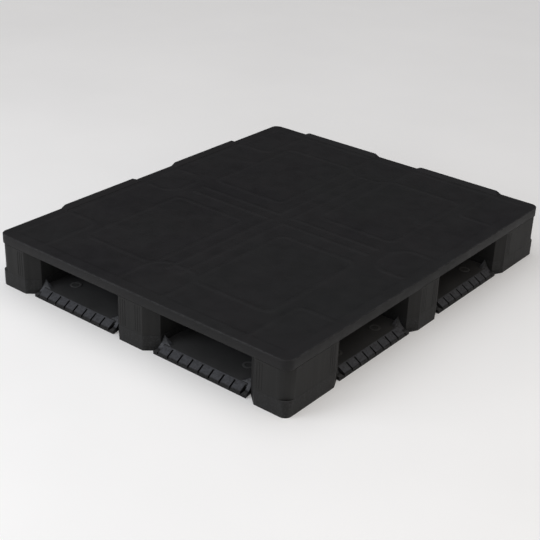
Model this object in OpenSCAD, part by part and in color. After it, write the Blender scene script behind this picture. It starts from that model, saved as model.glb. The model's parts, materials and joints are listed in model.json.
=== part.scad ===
// Four-way entry plastic pallet: closed deck, nine blocks, three runners and six cross skids.
// X runs along the short side, Y along the long side and Z up. The origin is on the floor,
// under the middle of the pallet. Sizes are in millimetres.

/* [Overall] */
// Outer size along X
pallet_x = 1000; // [960:10:1100]
// Outer size along Y
pallet_y = 1200; // [1160:10:1300]
// Height of the load surface above the floor
deck_z = 153; // [150:1:165]

/* [Deck] */
// Height of the wall round the edge of the deck
rim_h = 27; // [26:1:30]
// Thickness of that wall
rim_t = 5; // [4:0.5:5.5]
// Corner radius of the deck, seen from above
rim_r = 24; // [18:1:36]
// Thickness of the closed plate
plate_t = 4; // [3.5:0.5:5]
// Height of the ridges moulded on the load surface
relief_d = 0.8; // [0.4:0.1:1.2]
// Height of the stop rims above the load surface
stop_h = 7; // [5:1:10]
// Width of the stop rims
stop_w = 22; // [16:1:26]
// Length of the stop rims
stop_len = 300; // [260:5:320]

/* [Grid under the deck] */
// Thickness of the ribs
rib_t = 3; // [2:0.5:4]
// Number of rib bays along X
bays_x = 12; // [8:1:16]
// Number of rib bays along Y
bays_y = 14; // [10:1:18]
// Width of the steel tubes
tube_w = 30; // [24:1:34]
// Height of the steel tubes
tube_h = 18; // [14:1:18]
// Wall of the steel tubes
tube_t = 1.5; // [1:0.5:3]

/* [Blocks] */
// Corner block along X, which the side blocks on the long sides share
corner_x = 131; // [120:1:136]
// Corner block along Y
corner_y = 220; // [200:1:224]
// Width of the middle blocks between two fork openings
side_w = 150; // [130:1:156]
// Depth of the middle blocks on the short sides
side_depth = 180; // [160:1:200]
// Chamfer of the blocks at the fork openings, along the side of the pallet
fork_chamfer = 34; // [26:1:38]
// Depth of that chamfer on the short sides
short_bevel = 30; // [20:1:34]
// Depth of that chamfer on the long sides
long_bevel = 17; // [14:1:30]
// Chamfer of the blocks inside the pallet
inner_chamfer = 14; // [8:1:18]
// Radius of the pallet's corner blocks
block_r = 32; // [24:1:50]
// Radius of the cups under them
foot_r = 20; // [16:1:36]
// Wall thickness of the blocks
block_t = 5; // [4:0.5:6]

/* [Base] */
// Thickness of the bottom boards
board_t = 24; // [22:1:26]
// Height of the cups that the blocks stand in
cup_h = 44; // [40:1:50]
// Wall thickness of the cups
cup_t = 5; // [4:0.5:6]
// Floor thickness of the cups
cup_floor = 8; // [7:0.5:9]
// Width of the boards in the middle of the base
middle_w = 100; // [80:1:110]
// Width of the cross skids along the short sides
cross_w = 170; // [160:1:176]
// Distance of the boards' outer edge from the face of the blocks
lip_inset = 7; // [5:1:8]
// Number of teeth in each ramp
teeth = 8; // [6:2:8]
// Distance from one tooth to the next
tooth_pitch = 33.8; // [30:0.1:34]
// Gap between two teeth
tooth_gap = 5; // [2:0.5:6]
// Height of the horns at both ends of a ramp
horn_h = 43; // [38:1:46]

/* [Hidden] */
$fn = 96;

black = "#26262a";
edge_black = "#2f2f33";
fit = 0.3;             // play between plugged parts
cut = 1;               // overshoot of a cutting shape
rim_z = deck_z - rim_h;
plate_z = deck_z - plate_t;
block_z = cup_floor;   // blocks stand on the floor of the cups
neck_h = 15;           // blocks' neck, plugged into the grid
neck_in = 10;          // neck, set in from the face of the block
lug = [24, 1.5, 4];    // snap lug on the neck
lug_z = rim_z + 8;
span_x = pallet_x / 2 - side_w / 2 - corner_x;   // fork opening between blocks along X
span_y = pallet_y / 2 - side_w / 2 - corner_y;   // fork opening between blocks along Y
open_x = side_w / 2 + span_x / 2;                // middle of a fork opening along X
open_y = side_w / 2 + span_y / 2;                // middle of a fork opening along Y
ramp_z = 12;           // foot of the ramp
ramp_run = 29;         // top of the ramp, from the face of the blocks
board_u = 36;          // where the ribbed board begins behind the ramp
horn_u = 42;           // tip of a horn, from the face of the blocks
horn_foot = 9;         // height of a horn at the lip
horn_w = 39;           // foot of a horn along the ramp
horn_in = 2.5;         // tip of a horn, from the end of the opening
pin_r = 6;
stop_lip = 5;          // flat top of a stop rim
stop_edge = 0.6;       // height of its inner edge
seat_z = deck_z - relief_d;   // bottom of a stop rim, in its seat
flute_d = 0.6;         // depth of the flutes in the blocks
grip_r = 14;
grip_v = 85;           // grips, from the middle of a fork opening
grip_u_long = 70;      // grips on the long sides, from the face of the blocks
grip_u_short = 96;     // grips on the short sides, from the face of the blocks
long_over = 2;         // ramps' overhang past a fork opening, joined to the cups, on the long sides
short_over = 4;        // the same on the short sides, clear of the cups
tongue = [5, 60, 8];   // end tongue of a cross skid
tongue_z = 11;
tongue_u = (cross_w + lip_inset) / 2 + 10;   // middle of a tongue, from the face of the blocks
tube_off = 110;        // steel tubes, from the middle of a fork opening
tube_xs = [-open_x - tube_off, -open_x + tube_off, open_x - tube_off, open_x + tube_off];
tube_len = pallet_y - 50;
tube_z = rim_z + 3;
panel = [250, 365];    // panels of the load surface
panel_at = [195, 267.5];
panel_r = 24;
ridge_w = 14;          // ridges round the panels and over the blocks
ridge_r = 4;           // smallest inner radius of a ridge
edge_band = 38;        // ridge along the edge of the deck
island_over = [22, 12];   // ridges over the blocks, past the blocks' outline
island_corner_r = 34;
island_side_r = 60;
cross_at = 22;         // ridges of the cross, from the middle of the pallet

// Sizes of the block in column i and row j, where both are -1, 0 or 1
function block_w(i) = i == 0 ? side_w : corner_x;
function block_d(i, j) = j == 0 ? side_w : i == 0 ? side_depth : corner_y;
function block_x(i) = i * (pallet_x - block_w(i)) / 2;
function block_y(i, j) = j * (pallet_y - block_d(i, j)) / 2;

module rounded_rect(w, d, r) {
    square([w - 2 * r, d], center = true);
    square([w, d - 2 * r], center = true);
    for (x = [-1, 1], y = [-1, 1]) translate([x * (w / 2 - r), y * (d / 2 - r)]) circle(r);
}

// Turns a shape drawn for the corner at +x +y to the corner at sx, sy
module at_corner(sx, sy, w, d) {
    mirror([sx < 0 ? 1 : 0, 0, 0])
        mirror([0, sy < 0 ? 1 : 0, 0])
            translate([w / 2, d / 2]) children();
}

// Cuts a corner off, c.x along X and c.y along Y
module chamfer_cut(c) {
    over = 0.1;
    polygon([
        [-(1 + over) * c.x, over * c.y],
        [over * c.x, over * c.y],
        [over * c.x, -(1 + over) * c.y]
    ]);
}

// Share of a chamfer c that is left where its outline is set in by inset
function kept(c, inset) = 1 + inset * (norm([1 / c.x, 1 / c.y]) - 1 / c.x - 1 / c.y);

module round_cut(r) {
    difference() {
        translate([-r, -r]) square(r + cut);
        translate([-r, -r]) circle(r);
    }
}

// Outline of block i, j, set in by inset, with radius r at an outer corner of the pallet
module block_plan(i, j, inset = 0, r = block_r) {
    w = block_w(i) - 2 * inset;
    d = block_d(i, j) - 2 * inset;
    inner = [inner_chamfer, inner_chamfer];
    short = [fork_chamfer, short_bevel];
    long = [long_bevel, fork_chamfer];
    translate([block_x(i), block_y(i, j)]) difference() {
        square([w, d], center = true);
        for (sx = [-1, 1], sy = [-1, 1]) {
            on_x = i != 0 && sx == i;
            on_y = j != 0 && sy == j;
            at_corner(sx, sy, w, d) {
                if (on_x && on_y) round_cut(r - inset);
                else if (on_y) chamfer_cut(short * kept(short, inset));
                else if (on_x) chamfer_cut(long * kept(long, inset));
                else chamfer_cut(inner * kept(inner, inset));
            }
        }
    }
}

// ---------------------------------------------------------------- deck

// Frame of outer size and radius r, w wide
module ring(size, r, w) {
    difference() {
        rounded_rect(size.x, size.y, r);
        rounded_rect(size.x - 2 * w, size.y - 2 * w, max(r - w, ridge_r));
    }
}

// Frame over each outer block
module island_ridges() {
    for (i = [-1, 0, 1], j = [-1, 0, 1]) if (i != 0 || j != 0) {
        size = [block_w(i), block_d(i, j)] + island_over;
        translate([i * (pallet_x - size.x) / 2, j * (pallet_y - size.y) / 2])
            ring(size, i != 0 && j != 0 ? island_corner_r : island_side_r, ridge_w);
    }
}

// Ridges of the load surface: the edge band, a frame over each block and round each panel, a cross
module ridges() {
    ring([pallet_x, pallet_y], rim_r, edge_band);
    island_ridges();
    for (x = [-1, 1], y = [-1, 1]) translate([x * panel_at.x, y * panel_at.y])
        ring(panel + [ridge_w, ridge_w], panel_r + ridge_w / 2, ridge_w);
    difference() {
        union() {
            for (x = [-cross_at, cross_at])
                translate([x, 0]) square([ridge_w, 2 * panel_at.y + panel.y], center = true);
            for (y = [-cross_at, cross_at])
                translate([0, y]) square([2 * panel_at.x + panel.x, ridge_w], center = true);
        }
        square([2 * cross_at - ridge_w, pallet_y], center = true);
        square([pallet_x, 2 * cross_at - ridge_w], center = true);
    }
}

// Places a stop rim's shape, drawn along X with its outer face at y = 0 and its body at y < 0
module at_stop(side, n) {
    if (side == "back") translate([n * open_x, pallet_y / 2, 0]) children();
    if (side == "left") translate([-pallet_x / 2, n * open_y, 0]) rotate([0, 0, 90]) children();
}

module stop_tongues(play = 0) {
    for (x = [-1, 1])
        translate([x * stop_len / 4, -stop_lip - 2, deck_z - plate_t / 2])
            cube([80 + play, 3 + play, plate_t + 2 * play], center = true);
}

// Seat of a stop rim, open to the outside, so that the load surface ends beside the rim
module stop_seat() {
    translate([0, (cut - stop_w - fit) / 2, deck_z])
        cube([stop_len + 2 * fit, stop_w + fit + cut, 2 * relief_d], center = true);
}

module top_deck() {
    color(black) difference() {
        union() {
            translate([0, 0, rim_z]) linear_extrude(rim_h - relief_d)
                rounded_rect(pallet_x, pallet_y, rim_r);
            translate([0, 0, rim_z + rim_t]) linear_extrude(rim_h - rim_t) intersection() {
                ridges();
                rounded_rect(pallet_x, pallet_y, rim_r);
            }
        }
        translate([0, 0, rim_z - cut]) linear_extrude(plate_z - rim_z + cut)
            rounded_rect(pallet_x - 2 * rim_t, pallet_y - 2 * rim_t, rim_r - rim_t);
        for (side = ["left", "back"], n = [-1, 1]) at_stop(side, n) {
            stop_seat();
            stop_tongues(fit);
        }
    }
}

// Raised strip, sloping inwards and at both ends, that keeps a load from sliding off
module stop_rim(side, n) {
    slope = 15;
    color(edge_black) at_stop(side, n) {
        intersection() {
            rotate([90, 0, 0]) linear_extrude(stop_w) polygon([
                [-stop_len / 2, seat_z], [stop_len / 2, seat_z], [stop_len / 2, deck_z],
                [stop_len / 2 - slope, deck_z + stop_h], [-stop_len / 2 + slope, deck_z + stop_h],
                [-stop_len / 2, deck_z]
            ]);
            rotate([90, 0, 90]) linear_extrude(stop_len, center = true) polygon([
                [0, seat_z], [0, deck_z + stop_h], [-stop_lip, deck_z + stop_h],
                [-stop_w, deck_z + stop_edge], [-stop_w, seat_z]
            ]);
        }
        stop_tongues();
    }
}

module grid_plan() {
    w = pallet_x - 2 * rim_t;
    d = pallet_y - 2 * rim_t;
    step_x = (w - rib_t) / bays_x;
    step_y = (d - rib_t) / bays_y;
    difference() {
        rounded_rect(w, d, rim_r - rim_t);
        intersection() {
            rounded_rect(w - 2 * rib_t, d - 2 * rib_t, rim_r - rim_t - rib_t);
            for (i = [0:bays_x - 1], j = [0:bays_y - 1])
                translate([-w / 2 + rib_t + i * step_x, -d / 2 + rib_t + j * step_y])
                    square([step_x - rib_t, step_y - rib_t]);
        }
    }
}

module neck_lugs(i, j, play = 0) {
    for (s = [-1, 1]) translate([
        block_x(i) + s * (block_w(i) / 2 - neck_in + lug.y / 2 - 0.5),
        block_y(i, j),
        lug_z
    ]) cube([lug.y + 1 + play, lug.x + play, lug.z + play], center = true);
}

module deck_grid() {
    color(black) difference() {
        translate([0, 0, rim_z]) linear_extrude(plate_z - rim_z) difference() {
            union() {
                grid_plan();
                for (i = [-1:1], j = [-1:1]) block_plan(i, j, neck_in - rib_t - 1);
                for (x = tube_xs)
                    translate([x, 0]) square([tube_w + 2 * rib_t, tube_len + 2 * rib_t], center = true);
            }
            for (i = [-1:1], j = [-1:1]) block_plan(i, j, neck_in - fit);
        }
        for (x = tube_xs) translate([x, 0, tube_z + tube_h])
            cube([tube_w + fit, tube_len + fit, 2 * tube_h], center = true);
        for (i = [-1:1], j = [-1:1]) neck_lugs(i, j, 2 * fit);
    }
}

module steel_tube(x) {
    color("#9a9da0") translate([x, 0, tube_z + tube_h / 2]) rotate([90, 0, 0])
        linear_extrude(tube_len, center = true) difference() {
            rounded_rect(tube_w, tube_h, 3);
            rounded_rect(tube_w - 2 * tube_t, tube_h - 2 * tube_t, 3 - tube_t);
        }
}

// ---------------------------------------------------------------- blocks

// Shallow upright flutes on the outer faces, beside the fork openings
module flutes(i, j) {
    for (n = [0:2], s = [-1, 1]) {
        if (j != 0 && (i == 0 || s != i)) {
            x = block_x(i) + s * (block_w(i) / 2 - fork_chamfer - 7 - 8 * n);
            translate([x, j * pallet_y / 2, (cup_h + rim_z) / 2])
                cube([3, 2 * flute_d, rim_z - cup_h - 10], center = true);
        }
        if (i != 0 && (j == 0 || s != j)) {
            y = block_y(i, j) + s * (block_d(i, j) / 2 - fork_chamfer - 7 - 8 * n);
            translate([i * pallet_x / 2, y, (cup_h + rim_z) / 2])
                cube([2 * flute_d, 3, rim_z - cup_h - 10], center = true);
        }
    }
}

module pin_holes(i, j, z0, z1) {
    for (s = [-1, 1]) translate([block_x(i), block_y(i, j) + s * block_d(i, j) / 4, z0])
        cylinder(h = z1 - z0, r = pin_r + fit / 2);
}

// Hollow block: a foot in the cup, a body between the boards and the deck, a neck in the grid
module block(i, j) {
    foot_in = cup_t + fit;
    color(edge_black) {
        difference() {
            union() {
                translate([0, 0, block_z]) linear_extrude(cup_h - block_z + cut) block_plan(i, j, foot_in);
                translate([0, 0, cup_h]) linear_extrude(rim_z - cup_h) block_plan(i, j);
                translate([0, 0, rim_z - cut]) linear_extrude(neck_h + cut) block_plan(i, j, neck_in);
                neck_lugs(i, j);
            }
            translate([0, 0, block_z + 4]) linear_extrude(rim_z) block_plan(i, j, neck_in + block_t);
            translate([0, 0, cup_h + block_t])
                linear_extrude(rim_z - cup_h - 2 * block_t) block_plan(i, j, block_t);
            flutes(i, j);
            pin_holes(i, j, 0, block_z + 4 + cut);
        }
        translate([0, 0, cup_h + block_t - cut]) linear_extrude(rim_z - cup_h - block_t) intersection() {
            block_plan(i, j, block_t - 1);
            union() {
                translate([block_x(i), block_y(i, j)]) square([rib_t, pallet_y], center = true);
                translate([block_x(i), block_y(i, j)]) square([pallet_x, rib_t], center = true);
            }
        }
    }
}

// ---------------------------------------------------------------- base

// Outline, seen from above, of a ramp with its horns. Its ends stand over past the opening at the
// lip and run in to the tips of the horns.
module ramp_plan(half, over) {
    tip = half - horn_in;
    polygon([
        [-half - over, lip_inset], [half + over, lip_inset], [tip, horn_u], [tip, board_u + 12],
        [-tip, board_u + 12], [-tip, horn_u]
    ]);
}

// Ramp with teeth and two horns along the outer edge of a fork opening. It is drawn along X
// with the face of the blocks at y = 0 and the pallet at y > 0.
module ramp(half, over) {
    row = teeth * tooth_pitch;
    intersection() {
        linear_extrude(horn_h) ramp_plan(half, over);
        difference() {
            union() {
                rotate([90, 0, 90]) linear_extrude(row, center = true) polygon([
                    [lip_inset, 0], [lip_inset, ramp_z - 1], [lip_inset + 1.5, ramp_z],
                    [ramp_run, board_t], [board_u + 4, board_t], [board_u + 4, 0]
                ]);
                for (s = [0, 1]) mirror([s, 0, 0]) horn(half, over);
            }
            for (n = [-teeth / 2:teeth / 2])
                translate([n * tooth_pitch - tooth_gap / 2, 0, 4])
                    cube([tooth_gap, ramp_run - 2, horn_h]);
        }
    }
}

// Horn beside a block: its front follows one hollow curve, its flank another
module horn(half, over) {
    steps = 10;
    tip = half - horn_in;
    intersection() {
        rotate([90, 0, 90]) linear_extrude(half + over) polygon(concat(
            [[lip_inset, 0]],
            [for (k = [0:steps]) let (t = k / steps)
                [lip_inset + t * (horn_u - lip_inset), horn_foot + pow(t, 2.6) * (horn_h - horn_foot)]],
            [[horn_u + 4, board_t], [horn_u + 4, 0]]
        ));
        translate([0, horn_u + 4, 0]) rotate([90, 0, 0]) linear_extrude(horn_u + 4) polygon(concat(
            [[tip - horn_w, 0]],
            [for (k = [0:steps]) let (t = k / steps)
                [tip - horn_w * (1 - t), board_t - 1 + pow(t, 2) * (horn_h - board_t + 1)]],
            [[half + over, horn_h], [half + over, 0]]
        ));
    }
}

// Board between two blocks, drawn like the ramp, ribbed from below and bevelled at its free edge
module board(half, w0, w1, bevel0, bevel1) {
    rotate([90, 0, 90]) translate([0, 0, -half]) linear_extrude(2 * half) polygon([
        [w0, 0], [w0, board_t - bevel0], [w0 + bevel0, board_t],
        [w1 - bevel1, board_t], [w1, board_t - bevel1], [w1, 0]
    ]);
}

module board_pockets(half, w0, w1, rows) {
    columns = 6;
    step_v = (2 * half - 8) / columns;
    step_u = (w1 - w0) / rows;
    for (i = [0:columns - 1], j = [0:rows - 1])
        translate([-half + 6 + i * step_v, w0 + 2 + j * step_u, -cut])
            cube([step_v - 4, step_u - 4, board_t - 5 + cut]);
}

module grip_holes(at) {
    for (v = at.y) translate([v, at.x, -cut]) cylinder(h = board_t + 2 * cut, r = grip_r);
}

// Solid ring round each grip, so that a grip sits in a full wall
module grip_bosses(at) {
    for (v = at.y) translate([v, at.x, 0]) cylinder(h = board_t - 1, r = grip_r + 4);
}

// Bottom board of a fork opening with a ramp on its outer side, w wide from the face. The
// grips are at = [distance from the face, [places along the opening]].
module toothed_skid(half, over, w, at) {
    difference() {
        union() {
            difference() {
                union() {
                    ramp(half, over);
                    board(half, board_u, w, 0, 10);
                }
                board_pockets(half, board_u, w - 8, w > corner_x ? 4 : 3);
            }
            grip_bosses(at);
        }
        grip_holes(at);
    }
}

// Places a shape drawn like the ramp at a fork opening: "left" and "right" are the long sides
module at_opening(side, n) {
    if (side == "front") translate([n * open_x, -pallet_y / 2, 0]) children();
    if (side == "back") translate([n * open_x, pallet_y / 2, 0]) rotate([0, 0, 180]) children();
    if (side == "left") translate([-pallet_x / 2, n * open_y, 0]) rotate([0, 0, -90]) children();
    if (side == "right") translate([pallet_x / 2, n * open_y, 0]) rotate([0, 0, 90]) children();
}

// Room that the cups and the blocks over them take from the cross skids
module cup_outlines() {
    for (i = [-1:1], j = [-1:1])
        translate([0, 0, -cut]) linear_extrude(2 * cup_h) block_plan(i, j, 0, foot_r);
}

// Slots in the walls of the cups of column i for the tongues of the cross skids
module tongue_slots(i) {
    for (j = [-1:1], s = [-1, 1]) if (i == 0 || s != i) {
        y = j * (pallet_y / 2 - tongue_u);
        x = block_x(i) + s * (block_w(i) / 2 - tongue.x / 2);
        translate([x, y, tongue_z + tongue.z / 2])
            cube([tongue.x + 2 * fit, tongue.y + 2 * fit, tongue.z + 2 * fit], center = true);
    }
}

// Runner i: three cups with the boards between them
module runner(i) {
    color(black) difference() {
        union() {
            for (j = [-1:1]) linear_extrude(cup_h) block_plan(i, j, 0, foot_r);
            for (n = [-1, 1]) {
                if (i != 0) at_opening(i < 0 ? "left" : "right", n)
                    toothed_skid(span_y / 2, long_over, corner_x, [grip_u_long, [-grip_v, grip_v]]);
                if (i == 0) middle_board(n);
            }
        }
        for (j = [-1:1]) {
            translate([0, 0, cup_floor]) linear_extrude(cup_h) block_plan(i, j, cup_t);
            pin_holes(i, j, -cut, cup_floor + cut);
            pin_head_recess(i, j);
        }
        tongue_slots(i);
    }
}

// Board of the middle runner between the centre cup and an end cup
module middle_board(n) {
    len = pallet_y / 2 - side_depth - side_w / 2;
    translate([0, n * (side_w / 2 + len / 2), 0]) rotate([0, 0, 90]) difference() {
        board(len / 2, -middle_w / 2, middle_w / 2, 10, 10);
        board_pockets(len / 2, -middle_w / 2 + 8, middle_w / 2 - 8, 3);
    }
}

module skid_tongues(y) {
    for (s = [-1, 1]) translate([s * (span_x / 2 + tongue.x / 2 - cut / 2), y, tongue_z + tongue.z / 2])
        cube([tongue.x + cut, tongue.y, tongue.z], center = true);
}

module cross_skid(row, n) {
    color(black) {
        if (row == 0) translate([n * open_x, 0, 0]) {
            difference() {
                board(span_x / 2, -middle_w / 2, middle_w / 2, 10, 10);
                board_pockets(span_x / 2, -middle_w / 2 + 8, middle_w / 2 - 8, 3);
            }
            skid_tongues(0);
        } else {
            side = row < 0 ? "front" : "back";
            difference() {
                at_opening(side, n)
                    toothed_skid(span_x / 2, short_over, cross_w, [grip_u_short, [-row * n * grip_v]]);
                cup_outlines();
            }
            at_opening(side, n) skid_tongues(tongue_u);
        }
    }
}

module pin_head_recess(i, j) {
    for (s = [-1, 1]) translate([block_x(i), block_y(i, j) + s * block_d(i, j) / 4, -cut])
        cylinder(h = 4 + cut, r = 2 * pin_r + fit / 2);
}

// Snap pins that hold the blocks in the cups, pushed in from below
module lock_pins() {
    color(black) for (i = [-1:1], j = [-1:1], s = [-1, 1])
        translate([block_x(i), block_y(i, j) + s * block_d(i, j) / 4, 0]) {
            translate([0, 0, 1]) cylinder(h = 3, r = 2 * pin_r);
            translate([0, 0, 3]) cylinder(h = block_z + 1.2, r = pin_r);
            translate([0, 0, block_z + 4.1]) cylinder(h = 7, r1 = pin_r + 2, r2 = pin_r - 2);
        }
}

// Rubber grips in the outer boards, for forks and for the floor
module base_grips() {
    color("#1b1b1c") {
        for (n = [-1, 1], row = [-1, 1])
            at_opening(row < 0 ? "front" : "back", n)
                translate([-row * n * grip_v, grip_u_short, 0]) grip();
        for (n = [-1, 1], s = [-1, 1], side = ["left", "right"])
            at_opening(side, n) translate([s * grip_v, grip_u_long, 0]) grip();
    }
}

module grip() {
    difference() {
        union() {
            translate([0, 0, 1]) cylinder(h = board_t, r = grip_r);
            translate([0, 0, board_t]) cylinder(h = 1.5, r = grip_r + 2);
        }
        translate([0, 0, board_t + 0.7]) cylinder(h = 10, r = grip_r - 4);
    }
}

top_deck();
deck_grid();
stop_rim("left", -1);  // stop_rim_left_1
stop_rim("left", 1);  // stop_rim_left_2
stop_rim("back", -1);  // stop_rim_back_1
stop_rim("back", 1);  // stop_rim_back_2
steel_tube(tube_xs[0]);  // steel_tube_1
steel_tube(tube_xs[1]);  // steel_tube_2
steel_tube(tube_xs[2]);  // steel_tube_3
steel_tube(tube_xs[3]);  // steel_tube_4
block(-1, -1);  // block_front_left
block(0, -1);  // block_front_middle
block(1, -1);  // block_front_right
block(-1, 0);  // block_middle_left
block(0, 0);  // block_centre
block(1, 0);  // block_middle_right
block(-1, 1);  // block_back_left
block(0, 1);  // block_back_middle
block(1, 1);  // block_back_right
runner(-1);  // runner_left
runner(0);  // runner_middle
runner(1);  // runner_right
cross_skid(-1, -1);  // cross_skid_front_left
cross_skid(-1, 1);  // cross_skid_front_right
cross_skid(0, -1);  // cross_skid_middle_left
cross_skid(0, 1);  // cross_skid_middle_right
cross_skid(1, -1);  // cross_skid_back_left
cross_skid(1, 1);  // cross_skid_back_right
lock_pins();
base_grips();
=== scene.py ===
"""Looks for the four-way entry plastic pallet: materials, softened edges, deck skin, light and camera."""
import json
import math

import bpy
import numpy as np
from mathutils import Matrix, Vector


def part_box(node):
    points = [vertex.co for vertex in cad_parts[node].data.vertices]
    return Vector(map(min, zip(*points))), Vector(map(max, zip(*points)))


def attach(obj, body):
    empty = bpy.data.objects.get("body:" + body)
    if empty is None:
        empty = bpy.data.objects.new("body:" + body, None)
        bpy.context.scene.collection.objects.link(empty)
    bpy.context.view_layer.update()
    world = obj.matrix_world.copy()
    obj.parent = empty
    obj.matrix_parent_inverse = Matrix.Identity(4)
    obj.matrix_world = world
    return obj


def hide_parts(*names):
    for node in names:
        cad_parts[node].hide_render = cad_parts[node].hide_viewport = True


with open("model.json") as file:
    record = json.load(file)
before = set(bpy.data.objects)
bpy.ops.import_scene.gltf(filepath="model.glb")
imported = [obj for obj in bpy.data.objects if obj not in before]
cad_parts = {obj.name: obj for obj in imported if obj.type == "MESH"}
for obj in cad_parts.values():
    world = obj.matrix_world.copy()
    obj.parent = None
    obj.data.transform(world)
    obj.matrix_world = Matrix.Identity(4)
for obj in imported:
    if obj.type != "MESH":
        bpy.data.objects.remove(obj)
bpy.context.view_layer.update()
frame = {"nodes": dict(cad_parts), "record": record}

MM = 0.001

# Named places, from the CAD nodes' own boxes
DECK_LOW, DECK_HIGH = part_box("top_deck")
HALF_X = DECK_HIGH.x
HALF_Y = DECK_HIGH.y
DECK_TOP = frame["record"]["mounts"][0]["pos_m"][2]    # load surface, below the stop rims
CUP_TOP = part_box("runner_right")[1].z
GRIP_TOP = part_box("base_grips")[1].z

STOPS = ["stop_rim_left_1", "stop_rim_left_2", "stop_rim_back_1", "stop_rim_back_2"]
TUBES = ["steel_tube_1", "steel_tube_2", "steel_tube_3", "steel_tube_4"]
BLOCKS = [n for n in frame["nodes"] if n.startswith("block_")]
RUNNERS = [n for n in frame["nodes"] if n.startswith("runner_")]
SKIDS = [n for n in frame["nodes"] if n.startswith("cross_skid_")]


# Sizes of the deck's moulded pattern. Its lines lie where the CAD model has them. Only the skin has
# soft flanks and sink marks, and its ridges are 0.1 mm higher than the CAD model's.
RELIEF = 0.9 * MM        # height of the moulded ridges
SINK = 0.12 * MM         # depth of the sink marks over the ribs
SLOPE = 6 * MM           # width of a ridge's flank
RIDGE = 7 * MM           # half of a ridge's width
EDGE_BAND = 38 * MM      # raised band along the edge of the deck
CROSS_AT = 22 * MM       # ridges of the cross, from the middle of the deck
PANEL_AT = (195 * MM, 267.5 * MM)  # middle of the panel in a quarter of the deck
PANEL = (250 * MM, 365 * MM)
PANEL_R = 24 * MM
ISLAND_OVER = (22 * MM, 12 * MM)   # frames over the blocks, past the blocks' outline
ISLAND_CORNER_R = 34 * MM          # frame over a corner block
ISLAND_SIDE_R = 60 * MM            # frame over a block in the middle of a side
BAYS = (12, 14)          # rib bays under the plate, along X and Y
RIB = 2 * MM             # half of a sink mark's width

# Sizes of the deck moulding itself
EDGE_ROUND = 1.6 * MM    # top edge
RIM_T = 5 * MM           # edge wall
RIM_R = 24 * MM          # corners of the edge wall
PLATE_T = 4 * MM
LIP = 1.2 * MM           # lower edge of the edge wall
GRID = 4 * MM            # spacing of the skin's own grid


# ---------------------------------------------------------------- node helpers

class Nodes:
    """A material's node tree, with short calls for the nodes that the materials share."""

    def __init__(self, name):
        self.material = bpy.data.materials.new(name)
        self.material.use_nodes = True
        self.tree = self.material.node_tree
        self.shader = self.tree.nodes["Principled BSDF"]
        self.coords = self.tree.nodes.new("ShaderNodeTexCoord").outputs["Object"]

    def link(self, a, b):
        self.tree.links.new(a, b)

    def scaled(self, scale):
        """Object coordinates, stretched by scale along X, Y and Z."""
        node = self.tree.nodes.new("ShaderNodeMapping")
        node.inputs["Scale"].default_value = scale
        self.link(self.coords, node.inputs["Vector"])
        return node.outputs["Vector"]

    def noise(self, scale, detail=3.0, rough=0.55, stretch=(1, 1, 1)):
        node = self.tree.nodes.new("ShaderNodeTexNoise")
        node.inputs["Scale"].default_value = scale
        node.inputs["Detail"].default_value = detail
        node.inputs["Roughness"].default_value = rough
        self.link(self.scaled(stretch), node.inputs["Vector"])
        return node.outputs["Fac"]

    def ramp(self, value, stops):
        """Colours at places along a value; a stop is (place, colour or grey)."""
        node = self.tree.nodes.new("ShaderNodeValToRGB")
        points = node.color_ramp.elements
        while len(points) < len(stops):
            points.new(0.5)
        for point, (place, colour) in zip(points, stops):
            point.position = place
            point.color = (*([colour] * 3 if isinstance(colour, (int, float)) else colour), 1)
        self.link(value, node.inputs["Fac"])
        return node.outputs["Color"]

    def span(self, value, low, high, to_low=0.0, to_high=1.0):
        """A value's span from low to high, carried to another span and held there."""
        node = self.tree.nodes.new("ShaderNodeMapRange")
        for name, number in zip(("From Min", "From Max", "To Min", "To Max"), (low, high, to_low, to_high)):
            node.inputs[name].default_value = number
        self.link(value, node.inputs["Value"])
        return node.outputs["Result"]

    def math(self, how, a, b):
        node = self.tree.nodes.new("ShaderNodeMath")
        node.operation = how
        for socket, value in zip(node.inputs, (a, b)):
            if isinstance(value, (int, float)):
                socket.default_value = value
            else:
                self.link(value, socket)
        return node.outputs["Value"]

    def mix(self, how, share, a, b):
        node = self.tree.nodes.new("ShaderNodeMix")
        node.data_type = "RGBA"
        node.blend_type = how
        for name, value in (("Factor_Float", share), ("A_Color", a), ("B_Color", b)):
            socket = next(s for s in node.inputs if s.identifier == name)
            if isinstance(value, (int, float)):
                socket.default_value = value
            elif isinstance(value, tuple):
                socket.default_value = (*value, 1)
            else:
                self.link(value, socket)
        return next(s for s in node.outputs if s.identifier == "Result_Color")

    def size_of(self, value):
        node = self.tree.nodes.new("ShaderNodeMath")
        node.operation = "ABSOLUTE"
        self.link(value, node.inputs[0])
        return node.outputs["Value"]

    def axis(self, vector, name):
        node = self.tree.nodes.new("ShaderNodeSeparateXYZ")
        self.link(vector, node.inputs["Vector"])
        return node.outputs[name]

    def normal(self):
        return self.tree.nodes.new("ShaderNodeNewGeometry").outputs["Normal"]

    def bump(self, height, strength, distance, under=None):
        node = self.tree.nodes.new("ShaderNodeBump")
        node.inputs["Strength"].default_value = strength
        node.inputs["Distance"].default_value = distance
        self.link(height, node.inputs["Height"])
        if under is not None:
            self.link(under, node.inputs["Normal"])
        return node.outputs["Normal"]

    def finish(self, colour, roughness, normal=None, specular=0.5):
        self.link(colour, self.shader.inputs["Base Color"])
        self.link(roughness, self.shader.inputs["Roughness"])
        if normal is not None:
            self.link(normal, self.shader.inputs["Normal"])
        self.shader.inputs["Specular IOR Level"].default_value = specular
        return self.material


# ---------------------------------------------------------------- materials

RUBBED_AND_HIGHLIGHT = (0.034, 0.034, 0.036)         # polyethylene polished by use; along the deck's top edge, also a painted highlight
# Rubber pale from wear, with a painted highlight, for the grips' proud ring
WORN_RUBBER_HIGHLIGHT = (0.075, 0.075, 0.076)
# Near black, for painted shade low on set-in faces and along the cups' seam
PAINTED_SHADE = (0.004, 0.004, 0.004)
DUST = (0.052, 0.052, 0.053)

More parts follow.
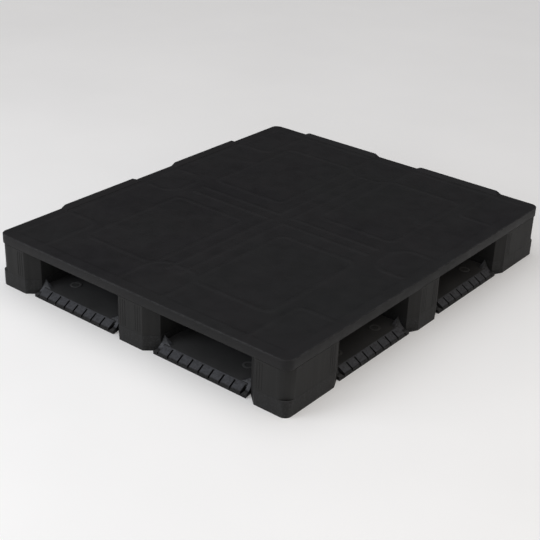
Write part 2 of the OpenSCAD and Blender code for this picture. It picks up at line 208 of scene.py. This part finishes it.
FOOT_TOP = 46 * MM       # wear, scuffs and dust fade out around this height
SET_IN = 5 * MM          # low painted shade falls on faces set in from the outline by more than this


def deck_plastic(name, specular):
    """Matt black polyethylene of the load surface: flow marks, ridges rubbed a little paler, and an edge
    pale from wear with a painted highlight along it.

    Its vertical walls carry painted shade: their colour is darker than its top's."""
    n = Nodes(name)
    broad = n.noise(3.2, 4)
    flow = n.noise(22, 5, 0.6)
    base = n.ramp(broad, [(0.3, (0.0085, 0.0080, 0.0095)), (0.5, (0.0110, 0.0105, 0.0115)),
                          (0.72, (0.0095, 0.0100, 0.0105))])
    tone = n.mix("OVERLAY", 0.6, base, n.ramp(flow, [(0.3, 0.36), (0.7, 0.64)]))
    height = n.axis(n.coords, "Z")
    rubbed = n.span(height, DECK_TOP - RELIEF, DECK_TOP - 0.1 * MM, 0.0, 0.03)
    tone = n.mix("MIX", rubbed, tone, RUBBED_AND_HIGHLIGHT)
    # Wear and painted highlight: paler in patches within 5 mm of the deck's outline, near its top.
    reach = n.math("MINIMUM", n.math("SUBTRACT", HALF_X, n.size_of(n.axis(n.coords, "X"))),
                   n.math("SUBTRACT", HALF_Y, n.size_of(n.axis(n.coords, "Y"))))
    edge = n.math("MULTIPLY", n.span(reach, 5 * MM, 1 * MM),
                  n.span(height, DECK_TOP - 5 * MM, DECK_TOP - 2 * MM))
    edge = n.math("MULTIPLY", edge, n.span(n.noise(45, 5, 0.7), 0.42, 0.62, 0.15, 0.75))
    tone = n.mix("MIX", edge, tone, RUBBED_AND_HIGHLIGHT)
    roughness = n.math("ADD", n.span(broad, 0.3, 0.7, 0.49, 0.59), n.span(flow, 0.3, 0.7, -0.05, 0.05))
    grain = n.bump(n.noise(900, 2), 0.12, 0.4 * MM)
    waves = n.bump(flow, 0.10, 2 * MM, under=grain)
    # Painted shade: vertical walls darkened to 0.65 of the top's colour.
    upright_shade = n.span(n.size_of(n.axis(n.normal(), "Z")), 0.3, 0.7, 0.65, 1.0)
    tone = n.mix("MULTIPLY", 1.0, tone, n.ramp(upright_shade, [(0, 0), (1, 1)]))
    return n.finish(tone, roughness, waves, specular=specular)


def side_plastic(name, low, high, scuff):
    """Black polyethylene of the blocks and the base: draw marks, scuffs, slopes pale from wear with a
    painted highlight, a little dust, and painted shade low on set-in faces and along the seam above the
    cups.
    """
    n = Nodes(name)
    streaks = n.noise(70, 3, 0.6, stretch=(1, 1, 0.05))
    blotch = n.noise(9, 4)
    base = n.ramp(streaks, [(0.3, low), (0.7, high)])
    tone = n.mix("OVERLAY", 0.5, base, n.ramp(blotch, [(0.3, 0.36), (0.7, 0.62)]))
    tilt = n.axis(n.normal(), "Z")
    slope = n.math("MULTIPLY", n.span(tilt, 0.35, 0.6), n.span(tilt, 0.97, 0.88))
    height = n.axis(n.coords, "Z")
    # Sloped faces low down are paler in patches: wear, and a painted highlight on these slopes.
    worn_and_highlit = n.math("MULTIPLY", slope, n.span(height, FOOT_TOP + 4 * MM, FOOT_TOP))
    inset = n.math("MULTIPLY",
                   n.span(n.size_of(n.axis(n.coords, "X")), HALF_X - SET_IN + MM, HALF_X - SET_IN - MM),
                   n.span(n.size_of(n.axis(n.coords, "Y")), HALF_Y - SET_IN + MM, HALF_Y - SET_IN - MM))
    # Painted shade: near black low down on faces set in from the outline.
    low_shade = n.math("MULTIPLY", inset, n.span(height, 13 * MM, 11 * MM, 0.0, 0.92))
    worn_and_highlit_patches = n.math("MULTIPLY", worn_and_highlit, n.span(n.noise(170, 5, 0.65), 0.35, 0.62, 0.40, 1.0))
    scuffed = n.mix("MIX", low_shade, n.mix("MIX", worn_and_highlit_patches, tone, scuff), PAINTED_SHADE)
    # Painted shade: a dark line at the height where the cups meet the blocks.
    seam_shade = n.span(n.size_of(n.math("SUBTRACT", height, CUP_TOP)), 1.6 * MM, 0.6 * MM, 0.0, 0.6)
    scuffed = n.mix("MIX", seam_shade, scuffed, PAINTED_SHADE)
    mottle = n.math("MULTIPLY", n.span(n.noise(190, 5, 0.7), 0.50, 0.70, 0.0, 0.35),
                    n.span(height, FOOT_TOP, FOOT_TOP - 6 * MM))
    scuffed = n.mix("MIX", mottle, scuffed, scuff)
    dusty = n.math("MULTIPLY", n.span(tilt, 0.93, 0.99), n.span(height, FOOT_TOP + 2 * MM, FOOT_TOP - MM))
    dusty = n.math("MULTIPLY", dusty, n.span(blotch, 0.3, 0.7, 0.65, 1.0))
    scuffed = n.mix("MIX", dusty, scuffed, DUST)
    roughness = n.math("ADD", n.span(blotch, 0.3, 0.7, 0.58, 0.66), n.math("MULTIPLY", worn_and_highlit_patches, -0.10))
    grain = n.bump(n.noise(1100, 2), 0.15, 0.4 * MM)
    draw = n.bump(streaks, 0.15, 1.5 * MM, under=grain)
    return n.finish(scuffed, roughness, draw, specular=0.25)


def rubber():
    """Dusty rubber, paler from wear on the ring that stands proud of the board, with a painted highlight on
    that ring.
    """
    n = Nodes("rubber_grip")
    speck = n.noise(400, 4)
    height = n.axis(n.coords, "Z")
    # Paler on the ring that stands proud: wear, and a painted highlight.
    ring = n.span(height, GRIP_TOP - 0.7 * MM, GRIP_TOP - 0.2 * MM)
    dust = n.ramp(speck, [(0.3, 0.034), (0.7, 0.050)])
    return n.finish(n.mix("MIX", ring, dust, WORN_RUBBER_HIGHLIGHT), n.span(speck, 0.3, 0.7, 0.75, 0.9),
                    n.bump(speck, 0.3, 0.5 * MM), specular=0.25)


def steel():
    """Galvanised steel, with drawn lines along the tube."""
    n = Nodes("galvanised_steel")
    drawn = n.noise(260, 4, stretch=(1, 0.02, 1))
    flake = n.noise(60, 2)
    n.shader.inputs["Metallic"].default_value = 1.0
    return n.finish(n.ramp(flake, [(0.3, (0.42, 0.43, 0.44)), (0.7, (0.60, 0.61, 0.62))]),
                    n.span(drawn, 0.3, 0.7, 0.32, 0.5), n.bump(drawn, 0.2, 0.3 * MM))


def floor_paint():
    """Pale matt floor that glows a little, like a light table."""
    n = Nodes("floor_paint")
    n.shader.inputs["Emission Color"].default_value = (1, 1, 1, 1)
    n.shader.inputs["Emission Strength"].default_value = FLOOR_GLOW
    cloud = n.noise(1.5, 3)
    return n.finish(n.ramp(cloud, [(0.3, 0.86), (0.7, 0.89)]), n.span(cloud, 0.3, 0.7, 0.75, 0.85),
                    specular=0.2)


# ---------------------------------------------------------------- CAD nodes

def dress(name, material, edge):
    """Gives a CAD node its material, and rounds its edges by edge, in metres."""
    piece = frame["nodes"][name]
    for slot in piece.material_slots:
        slot.material = material
    weld = piece.modifiers.new("weld", "WELD")
    weld.merge_threshold = 0.02 * MM
    flat = piece.modifiers.new("flat", "DECIMATE")
    flat.decimate_type = "DISSOLVE"
    flat.angle_limit = math.radians(0.5)
    bevel = piece.modifiers.new("round", "BEVEL")
    bevel.width = edge
    bevel.segments = 2
    bevel.limit_method = "ANGLE"
    bevel.angle_limit = math.radians(32)
    bevel.use_clamp_overlap = True
    bevel.loop_slide = False
    bevel.harden_normals = True


# ---------------------------------------------------------------- the deck's moulded skin

def box_distance(x, y, middle, size, radius):
    """Signed distance to a rounded rectangle, below 0 inside it."""
    dx = np.abs(x - middle[0]) - size[0] / 2 + radius
    dy = np.abs(y - middle[1]) - size[1] / 2 + radius
    outside = np.hypot(np.maximum(dx, 0), np.maximum(dy, 0))
    return outside + np.minimum(np.maximum(dx, dy), 0) - radius


def smooth(t):
    t = np.clip(t, 0, 1)
    return t * t * (3 - 2 * t)


def ridge(distance, half=RIDGE, slope=SLOPE):
    """1 on a line, falling to 0 at half its width."""
    return smooth((half + slope / 2 - np.abs(distance)) / slope)


def island(sx, sy, name, radius):
    """Frame over a block, from the block's own box."""
    low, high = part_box(name)
    size = (high.x - low.x + ISLAND_OVER[0], high.y - low.y + ISLAND_OVER[1])
    middle = (HALF_X - size[0] / 2 if high.x > HALF_X - RIM_T else 0,
              HALF_Y - size[1] / 2 if high.y > HALF_Y - RIM_T else 0)
    return ridge(box_distance(sx, sy, middle, size, radius) + RIDGE)


def relief(x, y):
    """Height of the moulded pattern, from 0 on the plate to 1 on a ridge."""
    sx, sy = np.abs(x), np.abs(y)
    end_x, end_y = (PANEL_AT[k] + PANEL[k] / 2 for k in (0, 1))
    cross = np.maximum(ridge(sx - CROSS_AT) * smooth((end_y - sy) / SLOPE),
                       ridge(sy - CROSS_AT) * smooth((end_x - sx) / SLOPE))
    channel = smooth((np.minimum(sx, sy) - CROSS_AT + RIDGE) / SLOPE + 0.5)
    edge = np.minimum(HALF_X - sx, HALF_Y - sy)
    return np.max([
        ridge(box_distance(sx, sy, PANEL_AT, PANEL, PANEL_R)),
        cross * channel,
        island(sx, sy, "block_back_right", ISLAND_CORNER_R),
        island(sx, sy, "block_back_middle", ISLAND_SIDE_R),
        island(sx, sy, "block_middle_right", ISLAND_SIDE_R),
        smooth((EDGE_BAND - edge) / SLOPE + 0.5),
    ], axis=0)


def sink_marks(x, y):
    """1 over the middle of a rib, falling to 0 beside it, and fading out at the edge of the deck."""
    marks = np.zeros_like(x)
    for value, half, bays in ((x, HALF_X, BAYS[0]), (y, HALF_Y, BAYS[1])):
        pitch = 2 * (half - RIM_T) / bays
        marks = np.maximum(marks, ridge((value + pitch / 2) % pitch - pitch / 2, RIB, 2 * SLOPE))
    return marks * smooth((np.minimum(HALF_X - np.abs(x), HALF_Y - np.abs(y)) - EDGE_BAND) / EDGE_BAND)


def mapped_corner(x, y, half_x, half_y, radius):
    """Bends the corners of a square grid into quarter discs, so that it fills a rounded rectangle."""
    u = (np.abs(x) - (half_x - radius)) / radius
    v = (np.abs(y) - (half_y - radius)) / radius
    in_corner = (u > 0) & (v > 0)
    u, v = np.where(in_corner, u, 1.0), np.where(in_corner, v, 1.0)
    reach = np.maximum(u, v)
    angle = np.where(u >= v, v / u * math.pi / 4, math.pi / 2 - u / v * math.pi / 4)
    new_x = np.sign(x) * (half_x - radius + radius * reach * np.cos(angle))
    new_y = np.sign(y) * (half_y - radius + radius * reach * np.sin(angle))
    return np.where(in_corner, new_x, x), np.where(in_corner, new_y, y)


def deck_skin():
    """The deck moulding: a fine grid for the top, with a rounded edge, the wall and its lower lip."""
    half_x, half_y, radius = HALF_X - EDGE_ROUND, HALF_Y - EDGE_ROUND, RIM_R - EDGE_ROUND
    nx, ny = round(2 * half_x / GRID), round(2 * half_y / GRID)
    gx, gy = np.meshgrid(np.linspace(-half_x, half_x, nx + 1), np.linspace(-half_y, half_y, ny + 1),
                         indexing="ij")
    x, y = mapped_corner(gx, gy, half_x, half_y, radius)
    z = DECK_TOP - RELIEF * (1 - relief(x, y)) - SINK * sink_marks(x, y)
    verts = np.stack([x, y, z], -1).reshape(-1, 3).tolist()

    def index(i, j):
        return i * (ny + 1) + j

    faces = [(index(i, j), index(i + 1, j), index(i + 1, j + 1), index(i, j + 1))
             for i in range(nx) for j in range(ny)]
    ring = [index(i, 0) for i in range(nx)] + [index(nx, j) for j in range(ny)]
    ring += [index(i, ny) for i in range(nx, 0, -1)] + [index(0, j) for j in range(ny, 0, -1)]
    out = [outward(verts[k], half_x, half_y, radius) for k in ring]
    steps = [math.radians(a) for a in (22.5, 45, 67.5, 90)]
    wall = [(math.sin(a) * EDGE_ROUND, DECK_TOP - EDGE_ROUND * (1 - math.cos(a))) for a in steps]
    wall += [(EDGE_ROUND, DECK_LOW.z + LIP), (EDGE_ROUND - 0.3 * LIP, DECK_LOW.z + 0.3 * LIP),
             (EDGE_ROUND - LIP, DECK_LOW.z), (EDGE_ROUND - RIM_T, DECK_LOW.z),
             (EDGE_ROUND - RIM_T, DECK_TOP - PLATE_T)]
    turn = len(ring)
    above = ring
    for reach, level in wall:
        start = len(verts)
        verts += [(verts[k][0] + n[0] * reach, verts[k][1] + n[1] * reach, level) for k, n in zip(ring, out)]
        below = list(range(start, start + turn))
        faces += [(above[k], below[k], below[(k + 1) % turn], above[(k + 1) % turn]) for k in range(turn)]
        above = below
    faces.append(tuple(above))
    mesh = bpy.data.meshes.new("deck_skin")
    mesh.from_pydata(verts, [], faces)
    mesh.validate()
    mesh.shade_smooth()
    skin = bpy.data.objects.new("deck_skin", mesh)
    bpy.context.scene.collection.objects.link(skin)
    return skin


def outward(point, half_x, half_y, radius):
    """Direction straight out of a rounded rectangle at a point of its outline."""
    x, y = point[0], point[1]
    dx, dy = abs(x) - (half_x - radius), abs(y) - (half_y - radius)
    if dx > 0 and dy > 0:
        length = math.hypot(dx, dy)
        return math.copysign(dx / length, x), math.copysign(dy / length, y)
    if dx / radius > dy / radius:
        return math.copysign(1, x), 0
    return 0, math.copysign(1, y)


# ---------------------------------------------------------------- studio

CEILING = 1.2            # strength of the room's ceiling and walls
WALLS = 0.04
WALL_TOP = (0.6, 0.85)   # the walls turn into the ceiling between these slopes, 1 being straight up
COOL_SIDE = (0.55, (0.98, 0.98, 1.0))     # share of the way from -X to +X, and the room's colour there
WARM_SIDE = (0.80, (1.0, 0.92, 0.82))
FLOOR_GLOW = 0.10
FLOOR_R = 30             # metres
FLOOR_SIDES = 64
FLOOR_GAP = 0.2 * MM     # below the pallet's feet, so that the two never share a plane

# Soft boxes: name, place, size, power and colour
LAMPS = [
    ("key", (2.2, -3.0, 1.9), (2.0, 2.0), 28, (1, 1, 1)),
    ("left", (-1.5, -2.9, 1.6), (2.0, 1.5), 40, (0.93, 0.96, 1.0)),
    ("right", (3.4, -0.2, 1.4), (2.0, 1.5), 13, (1.0, 0.90, 0.78)),
]
LAMP_AIM = (0, 0, 0.1)

# Camera: angles in degrees, places in metres, and the lens in millimetres
AZIMUTH = 38.03          # from -Y towards +X
ELEVATION = 26.86
ROLL = 2.267
DISTANCE = 3.294
LENS = 76.33
TARGET = (-0.0063, -0.0342, 0)


def add_camera():
    """Looks down on the front right corner, with a little roll."""
    azimuth, elevation = math.radians(AZIMUTH), math.radians(ELEVATION)
    away = Vector((math.sin(azimuth) * math.cos(elevation), -math.cos(azimuth) * math.cos(elevation),
                   math.sin(elevation)))
    data = bpy.data.cameras.new("camera")
    data.lens = LENS
    camera = bpy.data.objects.new("camera", data)
    aim = (-away).to_track_quat("-Z", "Y").to_matrix() @ Matrix.Rotation(math.radians(ROLL), 3, "Z")
    camera.matrix_world = Matrix.Translation(Vector(TARGET) + away * DISTANCE) @ aim.to_4x4()
    bpy.context.scene.collection.objects.link(camera)
    bpy.context.scene.camera = camera


def add_lamp(name, place, size, power, colour):
    data = bpy.data.lights.new(name, "AREA")
    data.shape = "RECTANGLE"
    data.size, data.size_y = size
    data.energy = power
    data.color = colour
    light = bpy.data.objects.new(name, data)
    direction = Vector(LAMP_AIM) - Vector(place)
    light.matrix_world = Matrix.Translation(place) @ direction.to_track_quat("-Z", "Y").to_matrix().to_4x4()
    bpy.context.scene.collection.objects.link(light)


def add_floor():
    mesh = bpy.data.meshes.new("floor")
    corners = [(FLOOR_R * math.cos(a), FLOOR_R * math.sin(a), -FLOOR_GAP)
               for a in (k * math.tau / FLOOR_SIDES for k in range(FLOOR_SIDES))]
    mesh.from_pydata(corners, [], [tuple(range(FLOOR_SIDES))])
    floor = bpy.data.objects.new("floor", mesh)
    bpy.context.scene.collection.objects.link(floor)
    mesh.materials.append(floor_paint())


def add_world():
    """White for the camera; for the object, a bright ceiling, warm towards +X, over dim walls."""
    world = bpy.data.worlds.new("studio")
    world.use_nodes = True
    tree = world.node_tree
    backdrop = tree.nodes["Background"]
    backdrop.inputs["Color"].default_value = (1, 1, 1, 1)
    backdrop.inputs["Strength"].default_value = 1.0
    room = tree.nodes.new("ShaderNodeBackground")
    up = tree.nodes.new("ShaderNodeSeparateXYZ")
    tree.links.new(tree.nodes.new("ShaderNodeTexCoord").outputs["Generated"], up.inputs["Vector"])
    level = tree.nodes.new("ShaderNodeMapRange")
    for name, number in zip(("From Min", "From Max", "To Min", "To Max"), (*WALL_TOP, WALLS, CEILING)):
        level.inputs[name].default_value = number
    tree.links.new(up.outputs["Z"], level.inputs["Value"])
    tree.links.new(level.outputs["Result"], room.inputs["Strength"])
    tint = tree.nodes.new("ShaderNodeValToRGB")
    for point, (place, colour) in zip(tint.color_ramp.elements, (COOL_SIDE, WARM_SIDE)):
        point.position, point.color = place, (*colour, 1)
    half = tree.nodes.new("ShaderNodeMath")
    half.operation = "MULTIPLY_ADD"
    half.inputs[1].default_value, half.inputs[2].default_value = 0.5, 0.5
    tree.links.new(up.outputs["X"], half.inputs[0])
    tree.links.new(half.outputs["Value"], tint.inputs["Fac"])
    tree.links.new(tint.outputs["Color"], room.inputs["Color"])
    seen = tree.nodes.new("ShaderNodeLightPath").outputs["Is Camera Ray"]
    mix = tree.nodes.new("ShaderNodeMixShader")
    tree.links.new(seen, mix.inputs["Fac"])
    tree.links.new(room.outputs["Background"], mix.inputs[1])
    tree.links.new(backdrop.outputs["Background"], mix.inputs[2])
    tree.links.new(mix.outputs["Shader"], tree.nodes["World Output"].inputs["Surface"])
    bpy.context.scene.world = world


def main():
    add_camera()
    blocks = side_plastic("block_plastic", (0.0095, 0.0095, 0.0093), (0.0155, 0.0152, 0.0150),
                          scuff=(0.050, 0.052, 0.058))
    base = side_plastic("base_plastic_skin", (0.0095, 0.0095, 0.0095), (0.0160, 0.0160, 0.0160),
                        scuff=(0.064, 0.066, 0.074))
    deck = deck_plastic("deck_plastic_skin", specular=0.22)
    rim = deck_plastic("stop_rim_plastic", specular=0.16)
    skin = deck_skin()
    skin.data.materials.append(deck)
    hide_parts("top_deck")
    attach(skin, "root")
    finishes = [                        # nodes, their material, and how far their edges are rounded
        (STOPS, rim, 1.5 * MM),
        (BLOCKS, blocks, 1.5 * MM),
        (RUNNERS + SKIDS, base, 0.8 * MM),
        (["deck_grid"], base, 0.6 * MM),
        (["lock_pins"], base, 0.4 * MM),
        (["base_grips"], rubber(), 0.5 * MM),
        (TUBES, steel(), 0.2 * MM),
    ]
    for names, material, edge in finishes:
        for name in names:
            dress(name, material, edge)
    add_floor()
    add_world()
    for lamp in LAMPS:
        add_lamp(*lamp)
    scene = bpy.context.scene
    scene.view_settings.view_transform = "Standard"


main()
